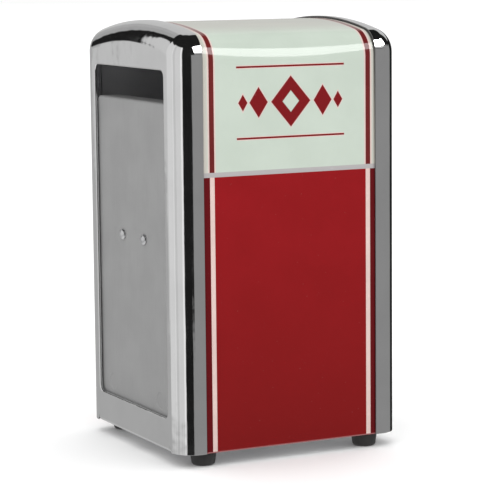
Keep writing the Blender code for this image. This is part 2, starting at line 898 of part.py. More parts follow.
def spring_point(turned, climb_turns, start_depth, end_depth):
    """Point on the coil after so many turns: flat, then a climbing cone, then flat again."""
    climbed = min(max((turned - SPRING_FLAT_TURNS) / climb_turns, 0.0), 1.0)
    radius = SPRING_SMALL_RADIUS + climbed * (SPRING_LARGE_RADIUS - SPRING_SMALL_RADIUS)
    angle = SPRING_START + turned * FULL_TURN
    x = start_depth + climbed * (end_depth - start_depth)
    return Vector((x, radius * math.cos(angle), radius * math.sin(angle)))


def make_spring(name, end):
    """Conical coil: its small end under the follower's strap, its large end in the divider's hooks."""
    small_end = FOLLOWER_BACK - GAP - WIRE_RADIUS
    large_end = DIVIDER_SHEET / 2 + GAP + WIRE_RADIUS
    turns = SPRING_FULL_TURNS + (SPRING_END - SPRING_START) / FULL_TURN
    climb_turns = turns - 2 * SPRING_FLAT_TURNS
    count = round(turns * SPRING_POINTS_PER_TURN)
    curve = bpy.data.curves.new(name, "CURVE")
    curve.dimensions = "3D"
    curve.bevel_depth = WIRE_RADIUS
    curve.bevel_resolution = WIRE_RESOLUTION
    curve.use_fill_caps = True
    wire = curve.splines.new("POLY")
    wire.points.add(count)
    for index, point in enumerate(wire.points):
        place = spring_point(turns * index / count, climb_turns, small_end, large_end)
        point.co = (*place, 1.0)
    curve.materials.append(finish_material(name, SPRING_STEEL))
    spring = bpy.data.objects.new(name, curve)
    PARTS.objects.link(spring)
    spring.parent = end
    spring.location = (0, 0, RIVET_HEIGHT)
    return spring


def make_end(side, turned):
    """Everything at one end: the door on its rod, the catch, the follower and its spring."""
    end = add_empty(f"{side}_end", rotation=(0, 0, turned))
    hinge = add_empty(f"{side}_hinge_axis", parent=end, location=(HINGE_X, 0, HINGE_HEIGHT))
    slide = add_empty(f"{side}_slide", parent=end, location=(FOLLOWER_X, 0, RIVET_HEIGHT))
    make_faceplate(f"{side}_faceplate", hinge)
    make_catch_tab(f"{side}_catch_tab", hinge)
    make_hinge_rod(f"{side}_hinge_rod", end)
    make_catch_spring(f"{side}_catch_spring", end)
    make_follower(f"{side}_follower", slide)
    make_spring_strap(f"{side}_spring_strap", slide)
    make_follower_rivet(f"{side}_follower_rivet_a", slide, -RIVET_SPREAD / 2)
    make_follower_rivet(f"{side}_follower_rivet_b", slide, RIVET_SPREAD / 2)
    make_spring(f"{side}_spring", end)


make_body_shell()
make_base_plate()
make_center_divider()
make_feet()
make_end("left", HALF_TURN)
make_end("right", 0.0)
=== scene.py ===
"""Looks of the two-sided counter napkin dispenser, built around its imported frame.

Everything is in metres in the row frame: +Z up, the painted display sides facing -Y and +Y, the
chromed faceplates facing -X and +X. Pieces of one end are drawn for the +X end, and the left end
is the same set turned half round about Z.
"""

import math

import bmesh
import bpy
from mathutils import Matrix, Vector


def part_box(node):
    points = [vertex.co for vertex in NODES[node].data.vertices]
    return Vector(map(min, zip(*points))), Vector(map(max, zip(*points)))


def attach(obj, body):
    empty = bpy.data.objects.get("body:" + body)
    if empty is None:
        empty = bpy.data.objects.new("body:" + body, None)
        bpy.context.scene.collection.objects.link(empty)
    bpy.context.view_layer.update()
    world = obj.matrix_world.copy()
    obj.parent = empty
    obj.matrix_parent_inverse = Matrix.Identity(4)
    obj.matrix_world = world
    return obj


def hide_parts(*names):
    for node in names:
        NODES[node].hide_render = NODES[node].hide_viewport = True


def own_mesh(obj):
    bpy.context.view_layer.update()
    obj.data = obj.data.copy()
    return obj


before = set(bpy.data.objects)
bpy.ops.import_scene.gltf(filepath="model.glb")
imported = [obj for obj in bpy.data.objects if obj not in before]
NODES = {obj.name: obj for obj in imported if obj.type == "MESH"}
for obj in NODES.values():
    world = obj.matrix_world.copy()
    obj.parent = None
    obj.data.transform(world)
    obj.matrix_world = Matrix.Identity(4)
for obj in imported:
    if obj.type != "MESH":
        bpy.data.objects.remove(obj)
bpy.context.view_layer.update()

MM = 0.001
QUARTER = math.pi / 2
FULL_TURN = 2 * math.pi

# ---------------------------------------------------------------- sizes read from the frame

PLATE_LOW, PLATE_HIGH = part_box("right_faceplate")
SHELL_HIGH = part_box("body_shell")[1]
FOLLOWER_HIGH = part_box("right_follower")[1]
FACE_X = PLATE_HIGH.x
HALF_WIDTH = PLATE_HIGH.y
HEIGHT = PLATE_HIGH.z
BODY_BOTTOM = PLATE_LOW.z
MIDDLE = (0, 0, HEIGHT / 2)
SHELL_HALF_WIDTH = SHELL_HIGH.y
SHELL_HEIGHT = SHELL_HIGH.z
SHELL_HALF_LENGTH = SHELL_HIGH.x
FOLLOWER_X = FOLLOWER_HIGH.x
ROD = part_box("right_hinge_rod")
HINGE = (ROD[0] + ROD[1]) / 2
ROD_HALF = (ROD[1].y - ROD[0].y) / 2

# ---------------------------------------------------------------- sizes of the bends

CORNER_RADIUS = 11 * MM
CROWN_RADIUS = 204.7 * MM
PLATE_SHEET = 0.6 * MM
SHELL_SHEET = 0.7 * MM
FOLLOWER_SHEET = 0.7 * MM
FLANGE_DEPTH = 12.45 * MM
EDGE_RADIUS = 9.9 * MM
EDGE_STEPS = 24
LIP_RADIUS = 1.6 * MM
LIP_DEPTH = 5.2 * MM
LIP_HALF = 39.9 * MM
SEAM_LEAN = 0.5  # how far the seam beside the lip leans in for each unit of height
LIP_STEPS = 10
LIP_NOTCH_FROM = LIP_STEPS - 3  # the row of the lip's bend where its notches start
RELIEF_WIDTH = 0.2 * MM
RELIEF_HEIGHT = 2.6 * MM
MOUTH_HALF = 37.3 * MM
MOUTH_LOW = 20.5 * MM
MOUTH_HIGH = 170.1 * MM
MOUTH_CORNER = 3 * MM
MOUTH_ROUNDING = 0.65 * MM
MOUTH_STEPS = 6
HEM_WIDTH = 2.5 * MM
HEM_DEPTH = 1.2 * MM
SHELL_CORNER_EDGE = 11.4 * MM
SHELL_CORNER_MIDDLE = 15.5 * MM
SHELL_STIFF_X = 41 * MM  # the roof's bend is tight beyond this, where the faceplates hold it
SHELL_COLUMNS = 41
KNUCKLE_RADIUS = 1.9 * MM
KNUCKLE_TURN = math.radians(300)
KNUCKLE_STEPS = 24
DOOR_KNUCKLES = (-16 * MM, 16 * MM)
DOOR_KNUCKLE_HALF = 7 * MM
BASE_KNUCKLES = (-32 * MM, 0, 32 * MM)
NOTCH_HALF = 5.5 * MM
FOLLOWER_BOTTOM = 10.7 * MM
FOLLOWER_DEPTH = 10 * MM
FOLLOWER_ROUNDING = 1.2 * MM
FOLLOWER_STEPS = 8
FOLLOWER_CORNER = 3.35 * MM
STOP_TAB_HALF = 12 * MM
STOP_TAB = ((8.0, 10.8), (9.2, 10.8), (9.9, 10.1), (9.9, 7.4))  # (depth, height) in mm
DIMPLE_Y = 26 * MM
DIMPLE_Z = 26.1 * MM
DIMPLE = ((4.0, 0.0), (3.85, 0.06), (3.5, 0.24), (3.2, 0.3), (0.4, 0.26))  # (radius, depth) in mm
DIMPLE_SIDES = 32
RIVET_Z = 95.3 * MM
RIVET_Y = 11.45 * MM
RIVET_HEAD_RADIUS = 2.4  # in mm
RIVET_HEAD_RISE = 1.3  # in mm, above a skirt
RIVET_SKIRT = 0.3  # in mm
RIVET_HEAD_STEPS = 8
RIVET_REST = (  # (radius, height) in mm, from under the head to the clenched tail
    (2.4, 0.12), (2.2, 0.02), (1.0, 0.02), (1.0, -2.0), (1.6, -2.05), (1.6, -2.75), (0.0, -2.9)
)
RIVET_SIDES = 32
WIRE_RADIUS = 0.6 * MM
WIRE_SIDES = 10
SPRING_SMALL_RADIUS = 6.5 * MM
SPRING_LARGE_RADIUS = 28 * MM
SPRING_START = math.radians(-40)
SPRING_END = math.radians(315)
SPRING_FULL_TURNS = 8
SPRING_FLAT_TURNS = 0.69  # lying flat at each end
SPRING_POINTS_PER_TURN = 36
SPRING_LIFT = 0.17  # the step up over the strap, as a share of the spring's length
SPRING_LIFT_OVER = 0.045  # the share of the climb that the step takes
ROD_RADIUS = 1.0 * MM
ROD_CHAMFER = 0.2 * MM
ROD_SIDES = 24
FOOT_TOE_RADIUS = 5.2  # in mm, as are the foot's other sizes
FOOT_TOE_ROUNDING = 1.3
FOOT_TOE_STEPS = 8
FOOT_TOP_CHAMFER = 0.3
FOOT_BORE = 1.8
FOOT_HOLLOW = ((3.1, 0.0), (2.9, 0.2), (2.9, 2.2), (FOOT_BORE, 2.2))  # (radius, height)
FOOT_SIDES = 48
SHEET_EDGE = 0.1 * MM  # the rounding of a thin sheet's cut edges
THICK_SHEET_EDGE = 0.12 * MM
SAME_POINT = 0.001 * MM
ON_AXIS = 0.0001 * MM
CUT_EDGE_ANGLE = math.radians(60)
SHARP_ANGLE = math.radians(38)
WIRE_SHARP_ANGLE = math.radians(50)
ARCH_CORNER_STEPS = 28
ARCH_CROWN_STEPS = 24


# ---------------------------------------------------------------- meshes


def arch(half_width, height, corner, crown, bottom, inset=0.0):
    """(y, z) points of the arch, drawn in by inset, from its -Y foot over the crown to +Y."""
    corner_y = half_width - corner
    crown_z = height - crown
    corner_z = crown_z + math.sqrt((crown - corner) ** 2 - corner_y**2)
    meet = math.atan2(corner_y, corner_z - crown_z)
    half = [(half_width - inset, bottom)]
    for step in range(ARCH_CORNER_STEPS + 1):
        angle = QUARTER + (meet - QUARTER) * step / ARCH_CORNER_STEPS
        reach = corner - inset
        half.append((corner_y + reach * math.sin(angle), corner_z + reach * math.cos(angle)))
    for step in range(1, ARCH_CROWN_STEPS + 1):
        angle = meet * (1 - step / ARCH_CROWN_STEPS)
        reach = crown - inset
        half.append((reach * math.sin(angle), crown_z + reach * math.cos(angle)))
    return [(-y, z) for y, z in half] + half[-2::-1]


def rounded_rectangle(half_width, low, high, radius, steps=8):
    """(y, z) points of a rectangle with rounded corners, centred across Y."""
    points = []
    middles = (
        (half_width - radius, high - radius),
        (-half_width + radius, high - radius),
        (-half_width + radius, low + radius),
        (half_width - radius, low + radius),
    )
    for quarter, (y, z) in enumerate(middles):
        for step in range(steps + 1):
            angle = QUARTER * (quarter + step / steps)
            points.append((y + radius * math.cos(angle), z + radius * math.sin(angle)))
    return points


def add_rows(bm, rows, closed=False, skip=lambda row, column: False):
    """Faces between neighbouring rows of points. Returns the rows of vertices and the faces."""
    grid = [[bm.verts.new(point) for point in row] for row in rows]
    faces = []
    for row in range(len(grid) - 1):
        here, above = grid[row], grid[row + 1]
        count = len(here)
        for column in range(count if closed else count - 1):
            if skip(row, column):
                continue
            after = (column + 1) % count
            faces.append(bm.faces.new((here[column], here[after], above[after], above[column])))
    return grid, faces


def add_flat(bm, loops):
    """Fill the plane between an outer loop of vertices and the loops of its holes."""
    edges = []
    for loop in loops:
        for a, b in zip(loop, loop[1:] + loop[:1]):
            edges.append(bm.edges.get((a, b)) or bm.edges.new((a, b)))
    made = bmesh.ops.triangle_fill(bm, use_beauty=True, use_dissolve=False, edges=edges)["geom"]
    return [item for item in made if isinstance(item, bmesh.types.BMFace)]


def face_away(bm, faces, middle, sign=1):
    """Turn the faces so that they look away from the middle, or towards it with sign -1."""
    bmesh.ops.recalc_face_normals(bm, faces=faces)
    total = 0.0
    for face in faces:
        total += face.normal.dot(face.calc_center_median() - Vector(middle)) * face.calc_area()
    if total * sign < 0:
        bmesh.ops.reverse_faces(bm, faces=faces)


def add_lathe(bm, profile, steps, matrix=Matrix.Identity(4)):
    """Turn (radius, height) points about Z, closing the ends that reach the axis."""
    rows = []
    for radius, height in profile:
        if radius < ON_AXIS:
            rows.append([matrix @ Vector((0, 0, height))])
            continue
        ring = []
        for step in range(steps):
            angle = FULL_TURN * step / steps
            ring.append(matrix @ Vector((radius * math.cos(angle), radius * math.sin(angle), height)))
        rows.append(ring)
    grid = [[bm.verts.new(point) for point in row] for row in rows]
    for here, above in zip(grid, grid[1:]):
        for step in range(steps):
            after = (step + 1) % steps
            corners = [here[step % len(here)], here[after % len(here)]]
            corners += [above[after % len(above)], above[step % len(above)]]
            unique = list(dict.fromkeys(corners))
            if len(unique) > 2:
                bm.faces.new(unique)


def new_piece(name, bm, materials, turned=False):
    """An object from the mesh, turned half round about Z for the left end."""
    if turned:
        bmesh.ops.rotate(bm, cent=(0, 0, 0), matrix=Matrix.Rotation(math.pi, 3, "Z"), verts=bm.verts)
    mesh = bpy.data.meshes.new(name)
    bm.to_mesh(mesh)
    bm.free()
    piece = bpy.data.objects.new(name, mesh)
    bpy.context.scene.collection.objects.link(piece)
    for material in materials:
        mesh.materials.append(material)
    return piece


def sheet(piece, thickness, rim=0, inner=0):
    """Thickness on the inner side of the drawn surface."""
    solid = piece.modifiers.new("sheet", "SOLIDIFY")
    solid.thickness = thickness
    solid.offset = -1.0
    solid.use_even_offset = True
    solid.use_quality_normals = True
    solid.material_offset = inner
    solid.material_offset_rim = rim


def soften(piece, width):
    bevel = piece.modifiers.new("soft_edges", "BEVEL")
    bevel.width = width
    bevel.segments = 2
    bevel.limit_method = "ANGLE"
    bevel.angle_limit = CUT_EDGE_ANGLE
    bevel.harden_normals = False


def settle(piece):
    """Apply the modifiers, then shade smooth with the flats kept flat."""
    graph = bpy.context.evaluated_depsgraph_get()
    mesh = bpy.data.meshes.new_from_object(piece.evaluated_get(graph))
    old = piece.data
    piece.modifiers.clear()
    piece.data = mesh
    bpy.data.meshes.remove(old)
    mesh.name = piece.name
    mesh.shade_smooth()
    mesh.set_sharp_from_angle(angle=SHARP_ANGLE)
    weighted = piece.modifiers.new("flats_stay_flat", "WEIGHTED_NORMAL")
    weighted.keep_sharp = True
    return piece


def place(piece, body, nodes, slot):
    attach(piece, body)
    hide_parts(*nodes)
    return piece


# ---------------------------------------------------------------- material nodes


class Finish:
    """A node material, with short calls for the nodes that its finish is worked out from."""

    def __init__(self, name, **values):
        self.material = bpy.data.materials.new(name)
        self.material.use_nodes = True
        self.tree = self.material.node_tree
        self.shader = self.tree.nodes["Principled BSDF"]
        for socket, value in values.items():
            self.shader.inputs[socket.replace("_", " ")].default_value = value
        self.place = self.node("ShaderNodeTexCoord").outputs["Object"]

    def node(self, kind, inputs=(), **settings):
        made = self.tree.nodes.new(kind)
        for setting, value in settings.items():
            setattr(made, setting, value)
        for socket, value in dict(inputs).items():
            if isinstance(value, bpy.types.NodeSocket):
                self.tree.links.new(value, made.inputs[socket])
            else:
                made.inputs[socket].default_value = value
        return made

    def math(self, operation, *values, clamp=False):
        made = self.node("ShaderNodeMath", enumerate(values), operation=operation, use_clamp=clamp)
        return made.outputs[0]

    def split(self, vector):
        return self.node("ShaderNodeSeparateXYZ", {0: vector}).outputs

    def stretched(self, scale, vector=None):
        mapping = self.node(
            "ShaderNodeMapping", {"Vector": vector or self.place, "Scale": scale}
        )
        return mapping.outputs[0]

    def noise(self, scale, detail=4.0, roughness=0.55, vector=None):
        made = self.node(
            "ShaderNodeTexNoise",
            {
                "Vector": vector or self.place,
                "Scale": scale,
                "Detail": detail,
                "Roughness": roughness,
            },
        )
        return made.outputs[0]

    def ramp(self, value, low, high, to_low=0.0, to_high=1.0, smooth=True):
        made = self.node(
            "ShaderNodeMapRange",
            {
                "Value": value,
                "From Min": low,
                "From Max": high,
                "To Min": to_low,
                "To Max": to_high,
            },
            interpolation_type="SMOOTHSTEP" if smooth else "LINEAR",
        )
        return made.outputs[0]

    def band(self, value, low, high, soft):
        """1 between low and high, with soft edges."""
        up = self.ramp(value, low - soft / 2, low + soft / 2)
        down = self.ramp(value, high - soft / 2, high + soft / 2)
        return self.math("SUBTRACT", up, down, clamp=True)

    def mix(self, factor, first, second):
        made = self.node("ShaderNodeMix", data_type="RGBA")
        for socket, value in ((0, factor), (6, first), (7, second)):
            if isinstance(value, bpy.types.NodeSocket):
                self.tree.links.new(value, made.inputs[socket])
            elif socket == 0:
                made.inputs[0].default_value = value
            else:
                made.inputs[socket].default_value = (*value, 1.0)
        return made.outputs[2]

    def bump(self, height, distance, normal=None):
        inputs = {"Height": height, "Distance": distance, "Strength": 1.0}
        if normal:
            inputs["Normal"] = normal
        return self.node("ShaderNodeBump", inputs).outputs[0]

    def set(self, **links):
        for socket, value in links.items():
            self.tree.links.new(value, self.shader.inputs[socket.replace("_", " ")])
        return self.material


FLAT_LIGHT = 1.22  # the studio's even daylight, which the colours below are divided by
DAYLIGHT_SHARE = 1.05 / FLAT_LIGHT
SRGB_STEP = 10  # display values up to this are on the linear stretch of the curve


def lit(*display):
    """The paint colour that shows as these display values, 0 to 255, in the studio's daylight."""
    linear = []
    for value in display:
        curved = value > SRGB_STEP
        linear.append(((value / 255 + 0.055) / 1.055) ** 2.4 if curved else value / 255 / 12.92)
    return tuple(DAYLIGHT_SHARE * value for value in linear)


PRINT_EDGE = 0.12 * MM
OUTLINE_EDGE = 0.2 * MM
PRINT_SHIFT = 0.45 * MM  # the print sits slightly off the middle
MINT = (lit(197, 208, 196), lit(202, 213, 201))
CREAM = (lit(222, 197, 190), lit(229, 204, 197))
# The print's cream edge beside the flanges, painted greyer as painted shade from the chrome flanges
EDGE_CREAM_SHADED = lit(203, 200, 190)
RED_TOP = (lit(142, 19, 24), lit(148, 21, 27))
# Painted shade: the red darker towards the bottom
RED_SHADED_FOOT = lit(126, 19, 20)
# Painted shade: the red darker beside the chrome flanges
RED_FLANGE_SHADE = lit(98, 10, 17)
STRIPE_RED = (lit(103, 33, 34), lit(111, 38, 38))
ORNAMENT_RED = lit(124, 22, 27)
# Painted highlight: a light pink line along the bottom bend of the shell
HEM_HIGHLIGHT_PINK = lit(160, 105, 105)
LINE_GREY = lit(180, 176, 176)
# Painted shade: the roof painted greyer and warmer than the mint, for how light falls on the top
ROOF_SHADE = lit(180, 170, 166)
ROOF_SHADE_SHARE = 0.55
# Painted shade: a dark line on the paint along the seam where the faceplates' flanges stand over it,
# darker towards the roof
SEAM_SHADE_COLOUR = (0.02, 0.025, 0.025)
SEAM_SHADE = (0.12, 0.85)  # at the bottom and at the top of the seam
SPECK = (0.30, 0.28, 0.26)
SPECK_SHARE = 0.12

# Where the print's parts and the painted shade beside the flanges lie, in mm to each side of the
# print's middle
STRIPE_OUTLINE = (36.1, 39.8)
STRIPE = (36.75, 39.05)
LOWER_STRIPE = (36.75, 38.9)
EDGE_CREAM_SHADED_FROM = (39.9, 40.4)
RED_FLANGE_SHADE_FROM = (38.7, 39.1)

# in mm to each side of the shell's middle
SEAM_SHADE_FROM = (41.0, 41.4)

# in mm above the shell's bottom edge
HEM_HIGHLIGHT_TOP = (0.45, 0.6)

# and in mm above the table
RED_SHADE_FADE = (10, 115)
SPLIT = (126, 126.1)
SPLIT_LINE = (125, 127)
SEAM_SHADE_RISE = (120, 182)
ROOF_SHADE_FROM = (184, 188.5)

# The ornament, in mm to each side of the print's middle and above the table
LOZENGE_Z = 156
LOZENGES = ((0, 9.5, 11), (15.5, 4.4, 6.6), (23, 2.2, 3.6))  # middle, half width, half height
LOZENGE_EDGE = 0.02  # as a share of the lozenge
INSET_LOZENGE = 0.42  # as a share of the first lozenge
OUTLINE = 0.45  # width of the cream outline
RULES = (140.8, 171.2)
RULE_HALF = 26
RULE_END = 0.1
RULE_WIDTHS = (0.75, 0.4)  # half widths of the outline and of the rule itself


# How far the finishes' uneven parts rise, in metres
CHROME_WAVES = 0.00025
CHROME_RIPPLES = 0.00005
CHROME_SCRATCHES = 0.0000004
INNER_SIDE_GRAIN = 0.000002
PAINT_SWELL = 0.00003
PAINT_PEEL = 0.0000016
STEEL_GRAIN = 0.0000025
RUBBER_GRAIN = 0.00002
NOISE_SPAN = (0.3, 0.7)  # most of a noise's values lie between these


def in_mm(*lengths):
    return [length * MM for length in lengths]


def chrome_finish():
    f = Finish("polished_chrome", Metallic=1.0, IOR=2.5)
    streaks = f.noise(1.0, 3.0, vector=f.stretched((900, 900, 14)))
    haze = f.noise(55, 5.0)
    waves = f.noise(38, 2.0, vector=f.stretched((1, 1, 0.55)))
    scratch = f.noise(1.0, 2.0, vector=f.stretched((2600, 2600, 260)))
    ripples = f.noise(150, 1.0)
    rough = f.ramp(haze, 0.35, 0.75, 0.045, 0.085)
    rough = f.math("ADD", rough, f.ramp(streaks, 0.55, 0.8, 0.0, 0.05))
    colour = f.mix(f.ramp(haze, *NOISE_SPAN), (0.80, 0.80, 0.80), (0.84, 0.84, 0.84))
    normal = f.bump(waves, CHROME_WAVES)
    normal = f.bump(ripples, CHROME_RIPPLES, normal)
    normal = f.bump(scratch, CHROME_SCRATCHES, normal)
    return f.set(Base_Color=colour, Roughness=rough, Normal=normal)


def chrome_inner_finish():
    f = Finish("chrome_inner_side", Metallic=0.5)
    haze = f.noise(90, 5.0)
    grain = f.noise(1.0, 3.0, vector=f.stretched((1500, 1500, 120)))
    rough = f.math("ADD", f.ramp(haze, *NOISE_SPAN, 0.2, 0.3), f.ramp(grain, 0.4, 0.7, 0.0, 0.08))
    colour = f.mix(f.ramp(haze, *NOISE_SPAN), (0.52, 0.52, 0.53), (0.62, 0.62, 0.62))
    return f.set(Base_Color=colour, Roughness=rough, Normal=f.bump(grain, INNER_SIDE_GRAIN))


def lozenge(f, across, up, middle, half_width, half_height):
    """1 at the lozenge's edge, less inside it. across and up are in metres, the rest in mm."""
    sideways = f.math("ABSOLUTE", f.math("SUBTRACT", across, middle * MM))
    upwards = f.math("ABSOLUTE", f.math("SUBTRACT", up, LOZENGE_Z * MM))
    sideways = f.math("DIVIDE", sideways, half_width * MM)
    return f.math("ADD", sideways, f.math("DIVIDE", upwards, half_height * MM))


def add_ornament(f, across, z, ground, ink, outline):
    """A row of lozenges between two rules, each outlined in cream."""
    colour = ground
    in_reach = f.ramp(across, *in_mm(RULE_HALF, RULE_HALF + RULE_END), 1.0, 0.0)
    for middle in RULES:
        for half, paint in zip(RULE_WIDTHS, (outline, ink)):
            rule = f.band(z, *in_mm(middle - half, middle + half), PRINT_EDGE)
            colour = f.mix(f.math("MULTIPLY", rule, in_reach), colour, paint)
    layers = []
    for sizes in LOZENGES:
        value = lozenge(f, across, z, *sizes)
        layers += [(value, 1 + OUTLINE / sizes[1], outline), (value, 1.0, ink)]
    layers.append((lozenge(f, across, z, *LOZENGES[0]), INSET_LOZENGE, ground))
    for value, edge, paint in layers:
        inside = f.ramp(value, edge - LOZENGE_EDGE, edge + LOZENGE_EDGE, 1.0, 0.0)
        colour = f.mix(inside, colour, paint)
    return colour


def paint_finish():
    f = Finish("display_paint", Specular_IOR_Level=0.0, Coat_Weight=0.55, Coat_Roughness=0.03)
    x, y, z = f.split(f.place)
    off_middle = f.math("ABSOLUTE", x)
    across = f.math("ABSOLUTE", f.math("SUBTRACT", x, PRINT_SHIFT))
    cloud = f.ramp(f.noise(45, 4.0), *NOISE_SPAN)
    pairs = (MINT, CREAM, RED_TOP, STRIPE_RED)
    mint, cream, red, stripe_red = [f.mix(cloud, *pair) for pair in pairs]

    upper = f.mix(f.band(across, *in_mm(*STRIPE_OUTLINE), OUTLINE_EDGE), mint, cream)
    upper = f.mix(f.band(across, *in_mm(*STRIPE), PRINT_EDGE), upper, stripe_red)
    # The print's cream edge beside the flanges, painted greyer for the flanges' shade
    upper = f.mix(f.ramp(across, *in_mm(*EDGE_CREAM_SHADED_FROM)), upper, EDGE_CREAM_SHADED)
    # Painted shade on the roof, greyer and warmer than the mint
    roof_shaded = f.mix(ROOF_SHADE_SHARE, upper, ROOF_SHADE)
    upper = f.mix(f.ramp(z, *in_mm(*ROOF_SHADE_FROM)), upper, roof_shaded)
    upper = add_ornament(f, across, z, upper, ORNAMENT_RED, cream)

    # Painted shade: the red darkens towards the bottom
    red = f.mix(f.ramp(z, *in_mm(*RED_SHADE_FADE), 1.0, 0.0, smooth=False), red, RED_SHADED_FOOT)
    # Painted shade: the red darker out towards the chrome flanges
    lower = f.mix(f.ramp(across, *in_mm(*RED_FLANGE_SHADE_FROM)), red, RED_FLANGE_SHADE)
    lower = f.mix(f.band(across, *in_mm(*LOWER_STRIPE), PRINT_EDGE), lower, cream)
    # Painted highlight along the shell's bottom bend
    hem_highlight = f.ramp(z, *(BODY_BOTTOM + top for top in in_mm(*HEM_HIGHLIGHT_TOP)), 1.0, 0.0)
    lower = f.mix(hem_highlight, lower, HEM_HIGHLIGHT_PINK)

    colour = f.mix(f.ramp(z, *in_mm(*SPLIT)), lower, upper)
    colour = f.mix(f.band(z, *in_mm(*SPLIT_LINE), PRINT_EDGE), colour, LINE_GREY)
    # Painted shade along the seam beside the faceplates' flanges, stronger towards the roof
    seam = f.ramp(off_middle, *in_mm(*SEAM_SHADE_FROM))
    depth = f.ramp(z, *in_mm(*SEAM_SHADE_RISE), *SEAM_SHADE, smooth=False)
    colour = f.mix(f.math("MULTIPLY", seam, depth), colour, SEAM_SHADE_COLOUR)
    specks = f.ramp(f.noise(900, 1.0), 0.76, 0.82)
    colour = f.mix(f.math("MULTIPLY", specks, SPECK_SHARE), colour, SPECK)
    normal = f.bump(f.noise(30, 1.0), PAINT_SWELL)
    normal = f.bump(f.noise(420, 2.0), PAINT_PEEL, normal)
    rough = f.ramp(f.noise(160, 4.0), *NOISE_SPAN, 0.28, 0.38)
    f.tree.links.new(normal, f.shader.inputs["Coat Normal"])
    return f.set(Base_Color=colour, Roughness=rough, Normal=normal)


def steel_finish(name, dark, light, smoothest, roughest, metallic=1.0):
    f = Finish(name, Metallic=metallic)
    cloud = f.noise(70, 5.0)
    fine = f.noise(1.0, 3.0, vector=f.stretched((1400, 1400, 90)))
    colour = f.mix(f.ramp(cloud, *NOISE_SPAN), dark, light)
    rough = f.ramp(cloud, *NOISE_SPAN, smoothest, roughest)
    rough = f.math("ADD", rough, f.ramp(fine, 0.4, 0.7, 0.0, 0.06))
    return f.set(Base_Color=colour, Roughness=rough, Normal=f.bump(fine, STEEL_GRAIN))


def rubber_finish():
    f = Finish("black_rubber", IOR=1.5)
    fine = f.noise(2200, 3.0)
    cloud = f.noise(260, 4.0)
    colour = f.mix(f.ramp(cloud, *NOISE_SPAN), (0.012, 0.012, 0.012), (0.022, 0.021, 0.020))
    rough = f.ramp(cloud, *NOISE_SPAN, 0.5, 0.7)
    return f.set(Base_Color=colour, Roughness=rough, Normal=f.bump(fine, RUBBER_GRAIN))


CHROME = chrome_finish()
CHROME_INNER = chrome_inner_finish()
PAINT = paint_finish()
PRIMER = steel_finish("shell_inner_side", (0.42, 0.42, 0.43), (0.48, 0.48, 0.49), 0.5, 0.65, 0.3)
# The faceplates' cut edges, painted near black as painted shade for the gap beside the paint
SHADED_CUT_EDGE = steel_finish("plated_cut_edge_in_painted_shade", (0.10, 0.10, 0.10), (0.14, 0.14, 0.14), 0.4, 0.5, 0.2)
EDGE_STEEL = steel_finish("cut_steel_edge", (0.30, 0.30, 0.30), (0.42, 0.42, 0.42), 0.35, 0.45)
GREY_STEEL = steel_finish(
    "follower_grey_steel", (0.26, 0.26, 0.26), (0.285, 0.285, 0.285), 0.42, 0.5, 0.15
)
PLAIN_STEEL = steel_finish("plain_steel", (0.34, 0.34, 0.35), (0.45, 0.45, 0.46), 0.34, 0.46)
ZINC = steel_finish("bright_zinc", (0.60, 0.61, 0.62), (0.72, 0.72, 0.73), 0.2, 0.3)
SPRING_STEEL = steel_finish("spring_steel", (0.38, 0.38, 0.40), (0.52, 0.52, 0.53), 0.22, 0.32)
RUBBER = rubber_finish()


# ---------------------------------------------------------------- painted shell


def make_shell():
    bm = bmesh.new()
    rows = []
    for column in range(SHELL_COLUMNS):
        x = SHELL_HALF_LENGTH * (2 * column / (SHELL_COLUMNS - 1) - 1)
        fullness = max(0.0, 1 - (x / SHELL_STIFF_X) ** 2)
        corner = SHELL_CORNER_EDGE + (SHELL_CORNER_MIDDLE - SHELL_CORNER_EDGE) * fullness
        crown = CROWN_RADIUS - (HEIGHT - SHELL_HEIGHT)
        outline = arch(SHELL_HALF_WIDTH, SHELL_HEIGHT, corner, crown, BODY_BOTTOM)
        rows.append([(x, y, z) for y, z in outline])
    faces = add_rows(bm, rows)[1]
    face_away(bm, faces, MIDDLE)
    shell = new_piece("painted_shell", bm, [PAINT, PRIMER, EDGE_STEEL])
    sheet(shell, SHELL_SHEET, rim=2, inner=1)
    soften(shell, THICK_SHEET_EDGE)
    settle(shell)
    place(shell, "housing", ["body_shell"], "body_paint")


# ---------------------------------------------------------------- chromed faceplates


def plate_arch(inset):
    return arch(HALF_WIDTH, HEIGHT, CORNER_RADIUS, CROWN_RADIUS, BODY_BOTTOM, inset)


def quarter_round(radius, steps):
    """(inset, depth) pairs round a quarter bend, from the side to the front."""
    pairs = []
    for step in range(steps + 1):
        angle = QUARTER * step / steps
        pairs.append((radius * (1 - math.cos(angle)), radius * (1 - math.sin(angle))))
    return pairs


def add_mouth_rows(bm):
    """The mouth's rounded edge, from the front face to its return."""
    rows = []
    for inset, depth in quarter_round(MOUTH_ROUNDING, MOUTH_STEPS)[::-1]:
        loop = rounded_rectangle(
            MOUTH_HALF + inset, MOUTH_LOW - inset, MOUTH_HIGH + inset, MOUTH_CORNER + inset
        )
        rows.append([(FACE_X - depth, y, z) for y, z in loop])
    rows.append([(FACE_X - HEM_DEPTH, y, z) for x, y, z in rows[-1]])
    return add_rows(bm, rows, closed=True)


def add_hem(bm):
    """The sheet folded back behind the mouth's edge."""
    rows = []
    for reach in (MOUTH_ROUNDING, HEM_WIDTH):
        loop = rounded_rectangle(
            MOUTH_HALF + reach, MOUTH_LOW - reach, MOUTH_HIGH + reach, MOUTH_CORNER + reach
        )
        rows.append([(FACE_X - HEM_DEPTH, y, z) for y, z in loop])
    faces = add_rows(bm, rows, closed=True)[1]
    face_away(bm, faces, MIDDLE, -1)


def seam(rise):
    """How far out the lip reaches, at a height above its bottom edge."""
    return LIP_HALF - SEAM_LEAN * rise


